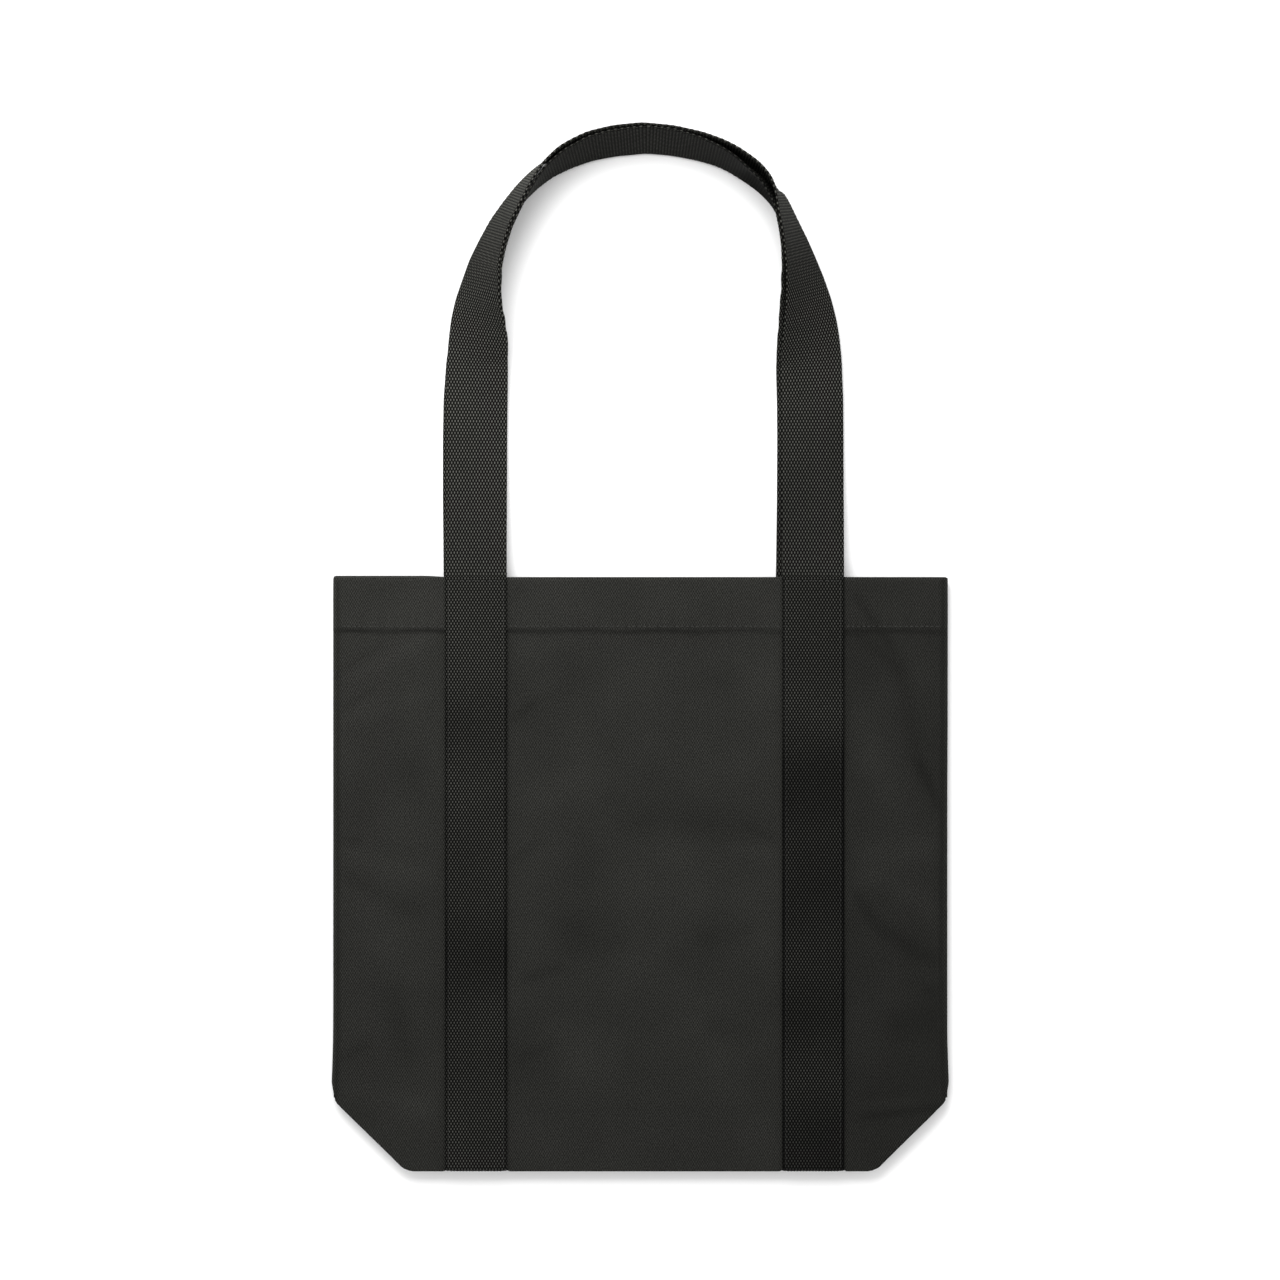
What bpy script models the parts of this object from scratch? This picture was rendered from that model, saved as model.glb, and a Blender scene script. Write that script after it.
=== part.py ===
"""Canvas tote bag lying flat on its back, with a boxed base folded inwards and two webbing handles.

Axes: +X across the bag, +Y from the base towards the handles, +Z up from the floor.
The origin is on the floor, in the middle of the whole outline, handles included.
"""

import math

import bmesh
import bpy
from mathutils import Matrix, Vector

# Driving dimensions, in metres
BAG_WIDTH = 0.380  # across the body, side seam to side seam
BAG_HEIGHT = 0.367  # base fold to mouth
HANDLE_DROP = 0.280  # mouth to the top of a handle
GUSSET_DEPTH = 0.090  # front to back of the base when it is opened out
HEM_DEPTH = 0.032  # height of the turned-in hem at the mouth
CANVAS = 0.0008  # thickness of one layer of canvas
WEBBING = 0.0020  # thickness of the webbing
WEBBING_WIDTH = 0.038
FRONT_STRAP_INSET = 0.086  # side edge to the middle of a front strap
BACK_STRAP_INSET = 0.087  # side edge to the middle of a back strap
FRONT_STRAP_SHIFT = 0.0025  # the front pair was sewn this far off centre
SEAM_ALLOWANCE = 0.010  # width of the cloth inside each seam
SEAM_LAYERS = 2  # layers of cloth in a seam allowance
BORDER = 0.012  # width over which the panels slope down to the side seams
FOLD_GAP = 0.0012  # clear space between the two halves of the folded base
GAP = 0.0003  # clearance between pieces that touch

# Stitching
THREAD_WIDTH = 0.0006
THREAD_DEPTH = 0.0004
STITCH_INSET = 0.0022  # strap edge to the middle of a row of stitches
TACK_INSET = 0.0050  # mouth to the row that crosses a strap
HEM_STITCH_INSET = 0.0020  # hem edge to the row that holds it

# Handles
HANDLE_START = 0.0015  # mouth to the first free point of a handle
LEG_LENGTH = 0.154  # mouth to where a handle starts to arch over
TWIST_START = 0.128  # mouth to where a handle starts to turn on its edge
DROOP = 0.090  # the front handle comes down to the floor within this length
HANDLE_GAP = 0.0010  # between the front handle and the back one that it lies on
ARCH_POWER = 2.15  # 2 is an ellipse, and more is squarer at the shoulders
UPRIGHT = math.radians(90)  # how far the webbing has turned at the top
LEG_STEPS = 26
ARCH_STEPS = 54
ACROSS_STEPS = 6
PIVOT_RISE = 0.0010  # strap face to the line that a handle swings about

# Distances from the bag's middle plane to each layer's inner and outer face
BASE_STRAP_IN = FOLD_GAP / 2
BASE_STRAP_OUT = BASE_STRAP_IN + WEBBING
BASE_IN = BASE_STRAP_OUT + GAP
BASE_OUT = BASE_IN + CANVAS
PANEL_IN = BASE_OUT + GAP
PANEL_OUT = PANEL_IN + CANVAS
STRAP_IN = PANEL_OUT + GAP
STRAP_OUT = STRAP_IN + WEBBING
LAYER = CANVAS + GAP  # from the middle of one layer of canvas to the next
HANDLE_LAYER = WEBBING + HANDLE_GAP  # from the middle of one handle to the other
EDGE_LEVEL = 1.5 * LAYER + 0.0002  # middle of a panel's thickness at the side seam

# Places
HALF_WIDTH = BAG_WIDTH / 2
CORNER = GUSSET_DEPTH / 2  # each side of the folded corner
BOTTOM = -(BAG_HEIGHT + HANDLE_DROP) / 2
MOUTH = BOTTOM + BAG_HEIGHT
MID_Z = STRAP_OUT
FOLD_END = BOTTOM + CORNER
BASE_HALF = HALF_WIDTH - CORNER
FRONT, BACK = 1, -1
SIDES = (("left", -1), ("right", 1))


def linear(channel):
    """One sRGB channel from 0 to 255 as a linear value."""
    share = channel / 255
    return share / 12.92 if share <= 0.04045 else ((share + 0.055) / 1.055) ** 2.4


def fabric(name, red, green, blue, roughness):
    """A plain cloth finish."""
    material = bpy.data.materials.new(name)
    material.use_nodes = True
    shader = material.node_tree.nodes["Principled BSDF"]
    shader.inputs["Base Color"].default_value = (linear(red), linear(green), linear(blue), 1)
    shader.inputs["Roughness"].default_value = roughness
    shader.inputs["Metallic"].default_value = 0
    return material


def clear_scene():
    for item in list(bpy.data.objects):
        bpy.data.objects.remove(item)


def pivot(name, place, parent=None):
    """An empty on a joint's axis."""
    empty = bpy.data.objects.new(name, None)
    empty.empty_display_size = 0.02
    empty.location = place if parent is None else place - parent.location
    empty.parent = parent
    bpy.context.collection.objects.link(empty)
    return empty


def add_piece(name, shape, material, hinge=None, place=None):
    """Makes an object of a bmesh whose points are world places; hinge is its parent, at place."""
    mesh = bpy.data.meshes.new(name)
    shape.to_mesh(mesh)
    shape.free()
    mesh.materials.append(material)
    piece = bpy.data.objects.new(name, mesh)
    if hinge:
        piece.parent = hinge
        piece.matrix_parent_inverse = Matrix.Translation(-place)
    bpy.context.collection.objects.link(piece)
    return piece


def prism(outline, along):
    """A straight solid: a flat outline pushed along a vector."""
    shape = bmesh.new()
    face = shape.faces.new([shape.verts.new(point) for point in outline])
    pushed = bmesh.ops.extrude_face_region(shape, geom=[face])["geom"]
    moved = [item for item in pushed if isinstance(item, bmesh.types.BMVert)]
    bmesh.ops.translate(shape, vec=along, verts=moved)
    bmesh.ops.recalc_face_normals(shape, faces=shape.faces)
    return shape


def block(x_range, y_range, z_range):
    """A box between two values on each axis."""
    (x0, x1), (y0, y1), (z0, z1) = x_range, y_range, z_range
    low, high = min(z0, z1), max(z0, z1)
    outline = [(x0, y0, low), (x1, y0, low), (x1, y1, low), (x0, y1, low)]
    return prism(outline, Vector((0, 0, high - low)))


def level(side, distance):
    """The height of a face that is this far from the middle plane, on the front or the back."""
    return MID_Z + side * distance


def tray_columns(side, inset, reach):
    """Section of a layer across the bag: flat, with a sloped border down to each side seam.

    inset is how far the layer lies inside the panel, and reach is where it ends in x.
    """
    flat = (PANEL_IN + PANEL_OUT) / 2
    slope = (flat - EDGE_LEVEL) / BORDER
    lean = math.hypot(1, slope)
    bend = HALF_WIDTH - (flat - EDGE_LEVEL - inset + inset * lean) / slope
    end = EDGE_LEVEL + (HALF_WIDTH - reach) * slope - inset * lean
    columns = [(-reach, end), (-bend, flat - inset), (bend, flat - inset), (reach, end)]
    return [(x, level(side, z)) for x, z in columns]


def cloth(name, columns, y_range, material, cuts=(), **joined):
    """A sheet of canvas with this section, cut along planes and then given its thickness."""
    shape = bmesh.new()
    row = [shape.verts.new((x, y_range[0], z)) for x, z in columns]
    edges = [shape.edges.new(pair) for pair in zip(row, row[1:])]
    pushed = bmesh.ops.extrude_edge_only(shape, edges=edges)["geom"]
    moved = [item for item in pushed if isinstance(item, bmesh.types.BMVert)]
    bmesh.ops.translate(shape, vec=(0, y_range[1] - y_range[0], 0), verts=moved)
    for point, normal in cuts:
        everything = shape.verts[:] + shape.edges[:] + shape.faces[:]
        bmesh.ops.bisect_plane(
            shape, geom=everything, plane_co=point, plane_no=normal, clear_outer=True
        )
    piece = add_piece(name, shape, material, **joined)
    wall = piece.modifiers.new("wall", "SOLIDIFY")
    wall.thickness = CANVAS
    wall.offset = 0
    wall.use_even_offset = True
    return piece


def corner_cut(sign, inset=0):
    """The slanted plane that folds off a bottom corner; inset moves it into the bag."""
    outwards = Vector((sign, -1, 0)).normalized()
    point = Vector((sign * HALF_WIDTH, FOLD_END, 0)) - outwards * inset
    return point, outwards


def panel(side, name, material, **joined):
    cuts = [corner_cut(-1), corner_cut(1)]
    columns = tray_columns(side, 0, HALF_WIDTH)
    return cloth(f"{name}_panel", columns, (BOTTOM, MOUTH), material, cuts, **joined)


def hem_facing(side, name, material, **joined):
    """The turned-in cloth behind the mouth's edge."""
    columns = tray_columns(side, LAYER, HALF_WIDTH - 2 * CANVAS)
    return cloth(f"{name}_hem_facing", columns, (MOUTH - HEM_DEPTH, MOUTH), material, **joined)


def corner_fold(side, name, sign, word, material):
    """Triangle of canvas that folds in behind a slanted corner, up to the base's end."""
    columns = tray_columns(side, LAYER, HALF_WIDTH - CANVAS)
    inner_end = (Vector((sign * (BASE_HALF + GAP), 0, 0)), Vector((-sign, 0, 0)))
    cuts = [corner_cut(sign, GAP), inner_end]
    return cloth(f"corner_fold_{name}_{word}", columns, (BOTTOM, FOLD_END), material, cuts)


def channel(name, x_range, reach, outer, inner, material):
    """Layers folded inwards between the panels: a U whose open side is the bag's bottom edge."""
    wall = outer - inner
    section = [
        (0, outer), (reach, outer), (reach, -outer), (0, -outer),
        (0, -inner), (reach - wall, -inner), (reach - wall, inner), (0, inner),
    ]
    outline = [(x_range[0], BOTTOM + y, MID_Z + z) for y, z in section]
    shape = prism(outline, Vector((x_range[1] - x_range[0], 0, 0)))
    return add_piece(name, shape, material)


def strap_middle(side, sign):
    """Where a strap's centre-line lies in x."""
    if side == FRONT:
        return sign * (HALF_WIDTH - FRONT_STRAP_INSET) + FRONT_STRAP_SHIFT
    return sign * (HALF_WIDTH - BACK_STRAP_INSET)


def stitch_row(middle, side, loose):
    """Thread up one edge of a strap, across it below the mouth, and down the other edge.

    loose widens it on every side, for the groove that it lies in.
    """
    outer = WEBBING_WIDTH / 2 - STITCH_INSET + THREAD_WIDTH / 2 + loose
    inner = outer - THREAD_WIDTH - 2 * loose
    top = MOUTH - TACK_INSET + loose
    under = top - THREAD_WIDTH - 2 * loose
    low = BOTTOM + GAP - 4 * loose
    corners = [
        (-outer, low), (-outer, top), (outer, top), (outer, low),
        (inner, low), (inner, under), (-inner, under), (-inner, low),
    ]
    base = level(side, STRAP_OUT - THREAD_DEPTH - loose)
    rise = side * (THREAD_DEPTH + 4 * loose)
    return prism([(middle + x, y, base) for x, y in corners], Vector((0, 0, rise)))


def hem_stitches(side, reach, loose):
    """Thread along the hem, on the panel's face and under the straps."""
    y = MOUTH - HEM_DEPTH + HEM_STITCH_INSET
    half = THREAD_WIDTH / 2 + loose
    z_range = (level(side, STRAP_IN - loose), level(side, STRAP_IN + THREAD_DEPTH + loose))
    return block((-reach, reach), (y - half, y + half), z_range)


def add_cutter(name, shape, piece):
    """Cuts a hidden shape out of a piece."""
    cutter = add_piece(name, shape, piece.data.materials[0])
    cutter.hide_render = True
    cutter.display_type = "WIRE"
    cut = piece.modifiers.new(name, "BOOLEAN")
    cut.operation = "DIFFERENCE"
    cut.solver = "EXACT"
    cut.object = cutter


def sewn_strap(side, name, sign, word, webbing, thread, **joined):
    """A strap from the mouth to the bottom edge, grooved for its stitches, and the stitches."""
    middle = strap_middle(side, sign)
    x_range = (middle - WEBBING_WIDTH / 2, middle + WEBBING_WIDTH / 2)
    z_range = (level(side, STRAP_IN), level(side, STRAP_OUT))
    shape = block(x_range, (BOTTOM, MOUTH), z_range)
    strap = add_piece(f"{name}_strap_{word}", shape, webbing, **joined)
    add_cutter(f"stitch_groove_{name}_{word}", stitch_row(middle, side, GAP), strap)
    hem_reach = HALF_WIDTH - BORDER
    add_cutter(f"hem_groove_{name}_{word}", hem_stitches(side, hem_reach + GAP, GAP), strap)
    add_piece(f"{name}_strap_stitches_{word}", stitch_row(middle, side, 0), thread, **joined)


def bag_face(side, name, canvas, webbing, thread, **joined):
    """One face of the bag: its panel, hem, straps and stitching."""
    panel(side, name, canvas, **joined)
    hem_facing(side, name, canvas, **joined)
    hem_row = hem_stitches(side, HALF_WIDTH - BORDER, 0)
    add_piece(f"{name}_hem_stitches", hem_row, thread, **joined)
    for word, sign in SIDES:
        sewn_strap(side, name, sign, word, webbing, thread, **joined)


def folded_base(canvas, webbing, overlock):
    """The base folded inwards, the straps that cross it, and its four folded corners."""
    inner_half = BASE_HALF - SEAM_ALLOWANCE
    channel("base_gusset", (-inner_half, inner_half), CORNER, BASE_OUT, BASE_IN, canvas)
    for word, sign in SIDES:
        middle = strap_middle(BACK, sign)
        x_range = (middle - WEBBING_WIDTH / 2, middle + WEBBING_WIDTH / 2)
        reach = CORNER - LAYER
        channel(f"base_strap_{word}", x_range, reach, BASE_STRAP_OUT, BASE_STRAP_IN, webbing)
        ends = sorted((sign * (inner_half + GAP), sign * BASE_HALF))
        thick = (SEAM_LAYERS + 1) * CANVAS
        channel(f"corner_seam_{word}", ends, CORNER, BASE_OUT, BASE_OUT - thick, overlock)
        for side, name in ((FRONT, "front"), (BACK, "back")):
            corner_fold(side, name, sign, word, canvas)


def side_seams(overlock):
    """The seam allowances inside the side edges, from the folded corners up to the hem."""
    half = (SEAM_LAYERS * CANVAS + GAP) / 2
    y_range = (FOLD_END + GAP, MOUTH - HEM_DEPTH - GAP)
    for word, sign in SIDES:
        x_range = sorted((sign * (HALF_WIDTH - GAP), sign * (HALF_WIDTH - SEAM_ALLOWANCE)))
        shape = block(x_range, y_range, (MID_Z - half, MID_Z + half))
        add_piece(f"side_seam_{word}", shape, overlock)


def smooth_step(share):
    share = min(max(share, 0), 1)
    return share * share * (3 - 2 * share)


def handle_line():
    """Places along the back handle's middle in plan, with how far up its arch each one is."""
    half_span = HALF_WIDTH - FRONT_STRAP_INSET - HANDLE_LAYER
    rise = HANDLE_DROP - LEG_LENGTH - WEBBING / 2 - HANDLE_LAYER
    left, right = [], []
    for i in range(LEG_STEPS):
        share = i / LEG_STEPS
        y = HANDLE_START + (LEG_LENGTH - HANDLE_START) * share
        for leg, sign in ((left, -1), (right, 1)):
            foot, shoulder = strap_middle(BACK, sign), FRONT_STRAP_SHIFT + sign * half_span
            leg.append((foot + (shoulder - foot) * share, y))
    arch = []
    for i in range(ARCH_STEPS + 1):
        angle = math.pi * i / ARCH_STEPS
        across, up = -math.cos(angle), math.sin(angle)
        x = math.copysign(abs(across) ** (2 / ARCH_POWER), across)
        arch.append((FRONT_STRAP_SHIFT + half_span * x, LEG_LENGTH + rise * up ** (2 / ARCH_POWER)))
    line = left + arch + right[::-1]
    top = LEG_LENGTH + rise
    return [(x, y, (y - TWIST_START) / (top - TWIST_START)) for x, y in line]


def slip(x, y, turn):
    """How far the front handle is moved across the back one's face, towards the inside of its arch."""
    if y >= TWIST_START:
        return -HANDLE_LAYER * math.tan(math.radians(45) - turn / 2)
    sign = math.copysign(1, x)
    at_foot = sign * (strap_middle(BACK, sign) - strap_middle(FRONT, sign))
    return at_foot + (-HANDLE_LAYER - at_foot) * y / TWIST_START


def handle_frames(side):
    """Centre, width direction and face direction at each place along a handle.

    The back handle lies on the floor and turns up on its edge. The front one lies on its face.
    """
    line = handle_line()
    strap_height = level(FRONT, (STRAP_IN + STRAP_OUT) / 2)
    lift = strap_height - WEBBING / 2 - HANDLE_LAYER
    frames = []
    for i, (x, y, climb) in enumerate(line):
        before, after = line[max(i - 1, 0)], line[min(i + 1, len(line) - 1)]
        run = Vector((after[0] - before[0], after[1] - before[1], 0)).normalized()
        inwards = Vector((run.y, -run.x, 0))
        turn = UPRIGHT * math.sin(math.radians(90) * min(max(climb, 0), 1))
        up = Vector((0, 0, 1))
        width = inwards * math.cos(turn) + up * math.sin(turn)
        face = up * math.cos(turn) - inwards * math.sin(turn)
        resting = WEBBING_WIDTH / 2 * math.sin(turn) + WEBBING / 2 * math.cos(turn)
        centre = Vector((x, MOUTH + y, resting))
        if side == FRONT:
            droop = 1 - smooth_step((y - HANDLE_START) / DROOP)
            centre += face * HANDLE_LAYER + width * slip(x, y, turn) + up * lift * droop
        frames.append((centre, width, face))
    return frames


def ribbon(frames):
    """A strip of webbing swept through frames, as one closed solid."""
    shape = bmesh.new()
    shares = [2 * i / ACROSS_STEPS - 1 for i in range(ACROSS_STEPS + 1)]
    corners = [(share, -1) for share in shares] + [(share, 1) for share in reversed(shares)]
    rings = []
    for centre, width, face in frames:
        across, out = width * WEBBING_WIDTH / 2, face * WEBBING / 2
        rings.append([centre + across * a + out * b for a, b in corners])
    cap = shape.faces.new([shape.verts.new(point) for point in rings[0]])
    for ring in rings[1:]:
        pushed = bmesh.ops.extrude_discrete_faces(shape, faces=[cap])["faces"]
        cap = pushed[0]
        for vert, point in zip(cap.verts, ring):
            vert.co = point
    shape.faces.new([shape.verts.new(point) for point in rings[0]])
    bmesh.ops.remove_doubles(shape, verts=shape.verts, dist=1e-6)
    bmesh.ops.recalc_face_normals(shape, faces=shape.faces)
    return shape


def main():
    clear_scene()
    canvas = fabric("canvas", 62, 62, 60, 0.92)
    webbing = fabric("webbing", 56, 56, 54, 0.88)
    thread = fabric("thread", 30, 30, 30, 0.75)
    overlock = fabric("overlocked_canvas", 50, 50, 48, 0.92)

    hinge_place = Vector((0, BOTTOM, MID_Z))
    front_place = Vector((0, MOUTH, level(FRONT, STRAP_OUT + PIVOT_RISE)))
    back_place = Vector((0, MOUTH, level(BACK, STRAP_OUT + PIVOT_RISE)))
    mouth_hinge = pivot("mouth_hinge", hinge_place)
    front_pivot = pivot("front_handle_pivot", front_place, mouth_hinge)
    back_pivot = pivot("back_handle_pivot", back_place)

    bag_face(BACK, "back", canvas, webbing, thread)
    bag_face(FRONT, "front", canvas, webbing, thread, hinge=mouth_hinge, place=hinge_place)
    folded_base(canvas, webbing, overlock)
    side_seams(overlock)

    front_loop, back_loop = ribbon(handle_frames(FRONT)), ribbon(handle_frames(BACK))
    add_piece("front_handle", front_loop, webbing, hinge=front_pivot, place=front_place)
    add_piece("back_handle", back_loop, webbing, hinge=back_pivot, place=back_place)


main()
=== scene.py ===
"""Canvas tote bag with webbing handles, laid flat: cloth, webbing and stitching round the fixed frame."""

import math

import bmesh
import bpy
import numpy as np
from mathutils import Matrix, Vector


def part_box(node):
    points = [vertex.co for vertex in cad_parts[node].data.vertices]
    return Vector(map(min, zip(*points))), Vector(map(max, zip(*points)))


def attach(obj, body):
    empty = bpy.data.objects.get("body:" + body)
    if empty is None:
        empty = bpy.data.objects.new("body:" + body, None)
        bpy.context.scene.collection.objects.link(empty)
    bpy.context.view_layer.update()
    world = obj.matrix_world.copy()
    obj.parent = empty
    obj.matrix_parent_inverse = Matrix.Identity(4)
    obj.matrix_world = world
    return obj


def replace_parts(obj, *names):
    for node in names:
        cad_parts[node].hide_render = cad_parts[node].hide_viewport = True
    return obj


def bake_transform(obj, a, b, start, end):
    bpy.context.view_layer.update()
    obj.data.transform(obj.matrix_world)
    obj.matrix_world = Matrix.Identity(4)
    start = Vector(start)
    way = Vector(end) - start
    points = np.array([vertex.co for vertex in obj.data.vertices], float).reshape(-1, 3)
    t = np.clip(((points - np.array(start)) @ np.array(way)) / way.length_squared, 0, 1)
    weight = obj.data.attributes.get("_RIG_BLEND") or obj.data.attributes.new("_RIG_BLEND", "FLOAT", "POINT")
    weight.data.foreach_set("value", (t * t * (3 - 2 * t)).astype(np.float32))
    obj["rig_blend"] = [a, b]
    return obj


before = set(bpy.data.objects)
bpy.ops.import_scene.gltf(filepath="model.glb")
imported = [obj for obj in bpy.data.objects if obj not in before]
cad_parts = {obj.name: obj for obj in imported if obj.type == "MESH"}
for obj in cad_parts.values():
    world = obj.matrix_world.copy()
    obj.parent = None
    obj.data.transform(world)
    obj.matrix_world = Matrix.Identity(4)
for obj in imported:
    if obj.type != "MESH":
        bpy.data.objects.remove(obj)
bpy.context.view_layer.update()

bl_info = {
    "name": "Canvas tote bag",
    "version": (1, 0, 0),
    "blender": (4, 5, 0),
    "location": "View3D > Sidebar > Tote bag",
    "description": "Builds a canvas tote bag with webbing handles, piece by piece",
    "category": "Object",
}

MM = 0.001

# Places, from the fixed frame.
BODY_LOW, BODY_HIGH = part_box("back_panel")[0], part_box("front_panel")[1]
HALF_WIDTH = BODY_HIGH.x
BOTTOM = BODY_LOW.y
MOUTH = BODY_HIGH.y
MIDDLE = (BODY_LOW.z + BODY_HIGH.z) / 2
PANEL_OUT = BODY_HIGH.z - MIDDLE
STRAP_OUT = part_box("front_strap_left")[1].z - MIDDLE
STRAP_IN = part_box("front_strap_left")[0].z - MIDDLE
BASE_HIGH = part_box("base_gusset")[1]
FOLD_END = BASE_HIGH.y
BASE_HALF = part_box("corner_fold_front_right")[0].x
FACING_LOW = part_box("front_hem_facing")[0].y
FACING_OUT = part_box("front_hem_facing")[1].z - MIDDLE
HEM_ROW = (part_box("front_hem_stitches")[0].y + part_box("front_hem_stitches")[1].y) / 2
BASE_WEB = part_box("base_strap_left")[1].z - MIDDLE - 1.0 * MM

# A maker's allowances.
PANEL_TURN = 5 * MM  # canvas turned in under a panel's bottom edge
CORNER_ROUND = 15 * MM  # how round a folded corner is
CORNER_INSET = 6.5 * MM  # how far a folded corner stops short of its fold
EDGE_ROW = 2.2 * MM  # stitches in from a strap's selvage
MOUTH_ROW = 2.4 * MM  # stitches across a strap, below the mouth
HEM_STEP = 0.35 * MM  # how much prouder the doubled hem stands
BASE_GAP, BASE_WEB_GAP = 8.5 * MM, 8 * MM  # bottom edge to where the base and its webbing start
DARKEST_PAINTED_SHADE = -0.4  # the least painted-shade mark on webbing, its darkest painted shade
ARCH = 190 * MM  # how far past the mouth a handle's arch begins


def middle_of(node):
    """The middle of a fixed node, across the bag."""
    low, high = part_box(node)
    return (low.x + high.x) / 2


STRAP_MIDDLES = {
    1: (middle_of("front_strap_left"), middle_of("front_strap_right")),
    -1: (middle_of("back_strap_left"), middle_of("back_strap_right")),
}
WEB_HALF = (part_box("front_strap_left")[1].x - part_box("front_strap_left")[0].x) / 2

# Handle lines: the edge that lies on the table, from the left foot to the right one, as millimetres
# across, millimetres above the mouth, and lean in degrees, 0 lying flat and 90 standing on its edge.
FRONT_LINE = (
    (-120.5, 0, 0), (-120.6, 48, 0), (-120.6, 85, 0), (-120.3, 110, 1), (-119.7, 134.7, 7),
    (-118.7, 147.1, 16), (-117.2, 159.5, 26), (-114.4, 171.9, 38), (-110.1, 184.3, 49.5),
    (-105.7, 196.7, 57), (-99.5, 209.1, 63), (-92.7, 221.5, 67.5), (-84.6, 232.7, 71),
    (-76.6, 242.6, 75), (-69.1, 250.1, 79), (-61.8, 255.9, 82.8), (-49.9, 260.8, 91),
    (-40.8, 262.7, 96), (-31.4, 263.9, 101), (-15.9, 265.1, 105), (0.9, 265.3, 107.5),
    (19.1, 265.4, 104.5), (37.3, 263.5, 101), (49.4, 261.7, 97), (58.6, 259.4, 93.5), (69.6, 254.5, 90),
    (75.8, 251.2, 87.3), (82.5, 245.5, 84.5), (88.4, 237.7, 79.3), (91.5, 233.0, 75.7),
    (97.1, 221.5, 70.5), (103.3, 209.1, 63.5), (108.8, 196.7, 56), (113.8, 184.3, 47),
    (118.1, 171.9, 37.5), (121.2, 159.5, 28), (123.3, 147.1, 18), (124.5, 134.7, 8), (125.5, 110, 1),
    (125.7, 85, 0), (125.6, 48, 0), (125.5, 0, 0),
)
BACK_LINE = (
    (-122.0, 0, 0), (-122.5, 48, 0), (-122.5, 85, 0), (-122.1, 110, 0), (-120.3, 134.7, 5),
    (-118.1, 147.1, 14), (-115.9, 158.9, 26), (-112.3, 171.3, 38), (-107.1, 183.4, 51.5),
    (-101.4, 195.2, 60.5), (-94.2, 206.3, 69), (-86.3, 217.5, 76), (-77.7, 227.4, 81.8),
    (-69.6, 236.4, 86.8), (-63.5, 242.0, 90.5), (-54.6, 248.5, 95.9), (-44.0, 253.5, 101),
    (-36.5, 256.3, 103), (-28.8, 258.8, 105.6), (-15.8, 261.2, 107.5), (3.4, 263.1, 107.9),
    (18.9, 261.8, 107.5), (35.4, 258.7, 104.2), (46.2, 255.6, 101), (54.1, 252.2, 98.8),
    (63.3, 246.3, 95.5), (68.3, 242.8, 94), (73.8, 238.7, 92), (80.3, 232.1, 88), (82.5, 229.0, 88),
    (88.9, 217.6, 82.2), (96.7, 206.5, 71), (103.9, 195.1, 58.4), (109.6, 183.1, 48.5),
    (113.9, 170.9, 38), (117.3, 158.7, 29), (119.6, 146.5, 19), (121.5, 134.4, 8), (122.6, 110, 1),
    (122.8, 85, 0), (122.6, 48, 0), (122.0, 0, 0),
)

# Creases in the front canvas, in millimetres: from x, y to x, y, half width and height.
FRONT_CREASES = (
    (-190, 10.5, -123, 10.5, 1.3, -0.9), (-83, 10.5, -32, 11, 1.3, -0.7), (-32, 11, 6, 11, 1.3, -0.3),
    (6, 11, 89, 11, 1.3, -0.6), (125, 10.5, 144, 10.5, 1.5, -0.5), (144, 10.5, 190, 11, 1.3, -0.35),
    (-183, -22, -130, 5, 5, 0.7), (-188, -17, -158, 2, 2.5, -0.6), (-185, -39, -164, -26, 3, -0.7),
    (-183, -47, -126, -28, 6, 0.5), (-188, -119, -172, -121, 4, -0.8),
    (-189, -140, -134, -165, 6, -0.8), (-183, -129, -126, -144, 7, 0.6),
    (-155, -210, -142, -257, 9, -0.9), (-188, -257, -167, -245, 4, -0.8),
    (-186, -272, -126, -287, 8, 1.0), (-81, 26, -73, 38, 3, -0.5), (-76, -6, -38, 5, 6, 0.6),
    (-81, -47, -64, -34, 3, -0.7), (-79, -37, -54, -22, 5, 0.5), (-81, -133, -62, -121, 3, -0.7),
    (-7, -106, 81, -113, 12, -1.0), (-70, -91, -1, -78, 14, 0.8), (-26, -144, 37, -160, 16, 0.9),
    (-51, -176, -7, -185, 14, -0.9), (37, -182, 72, -174, 6, -0.6), (-73, -206, -48, -198, 4, -0.8),
    (-76, -257, -51, -243, 4, -0.7), (40, -235, 72, -242, 8, -0.7), (-51, -257, -13, -261, 14, 0.7),
    (34, -18, 59, -25, 9, -0.5), (65, -111, 89, -122, 3, -0.6), (56, -124, 81, -129, 5, 0.5),
    (-81, -286, 87, -286, 1.5, -0.15), (132, 33, 157, -3, 3, -1.1), (136, 7, 163, -17, 4, -0.8),
    (160, -6, 171, -69, 7, -0.9), (171, -69, 190, -106, 4, -1.3), (131, -37, 160, -106, 12, 0.8),
    (135, -129, 188, -122, 12, 1.0), (133, -152, 147, -174, 4, -1.0), (147, -174, 175, -190, 6, -1.1),
    (175, -190, 190, -195, 5, -0.9), (138, -138, 188, -163, 8, 0.7), (175, -212, 190, -215, 4, -0.6),
    (153, -232, 188, -229, 12, -0.8), (131, -284, 169, -280, 3, 0.5), (135, -291, 190, -284, 2.5, -0.8),
)
# The back's own creases, fewer because it lies on the table.
BACK_CREASES = (
    (-190, 10.5, 190, 10.5, 1.3, -0.6), (-170, -40, -132, -20, 5, 0.5), (-60, -90, 40, -110, 12, -0.7),
    (-20, -170, 70, -190, 14, 0.6), (135, -60, 180, -95, 5, -0.7), (-180, -210, -135, -190, 6, -0.6),
    (-70, -240, 10, -255, 12, 0.5), (135, -250, 180, -240, 7, 0.5),
)


def linear(code):
    """An sRGB hex colour, such as "#2e2e2c", as linear values with alpha."""
    values = [int(code[i : i + 2], 16) / 255 for i in (1, 3, 5)]
    return [v / 12.92 if v <= 0.04045 else ((v + 0.055) / 1.055) ** 2.4 for v in values] + [1.0]


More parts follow.
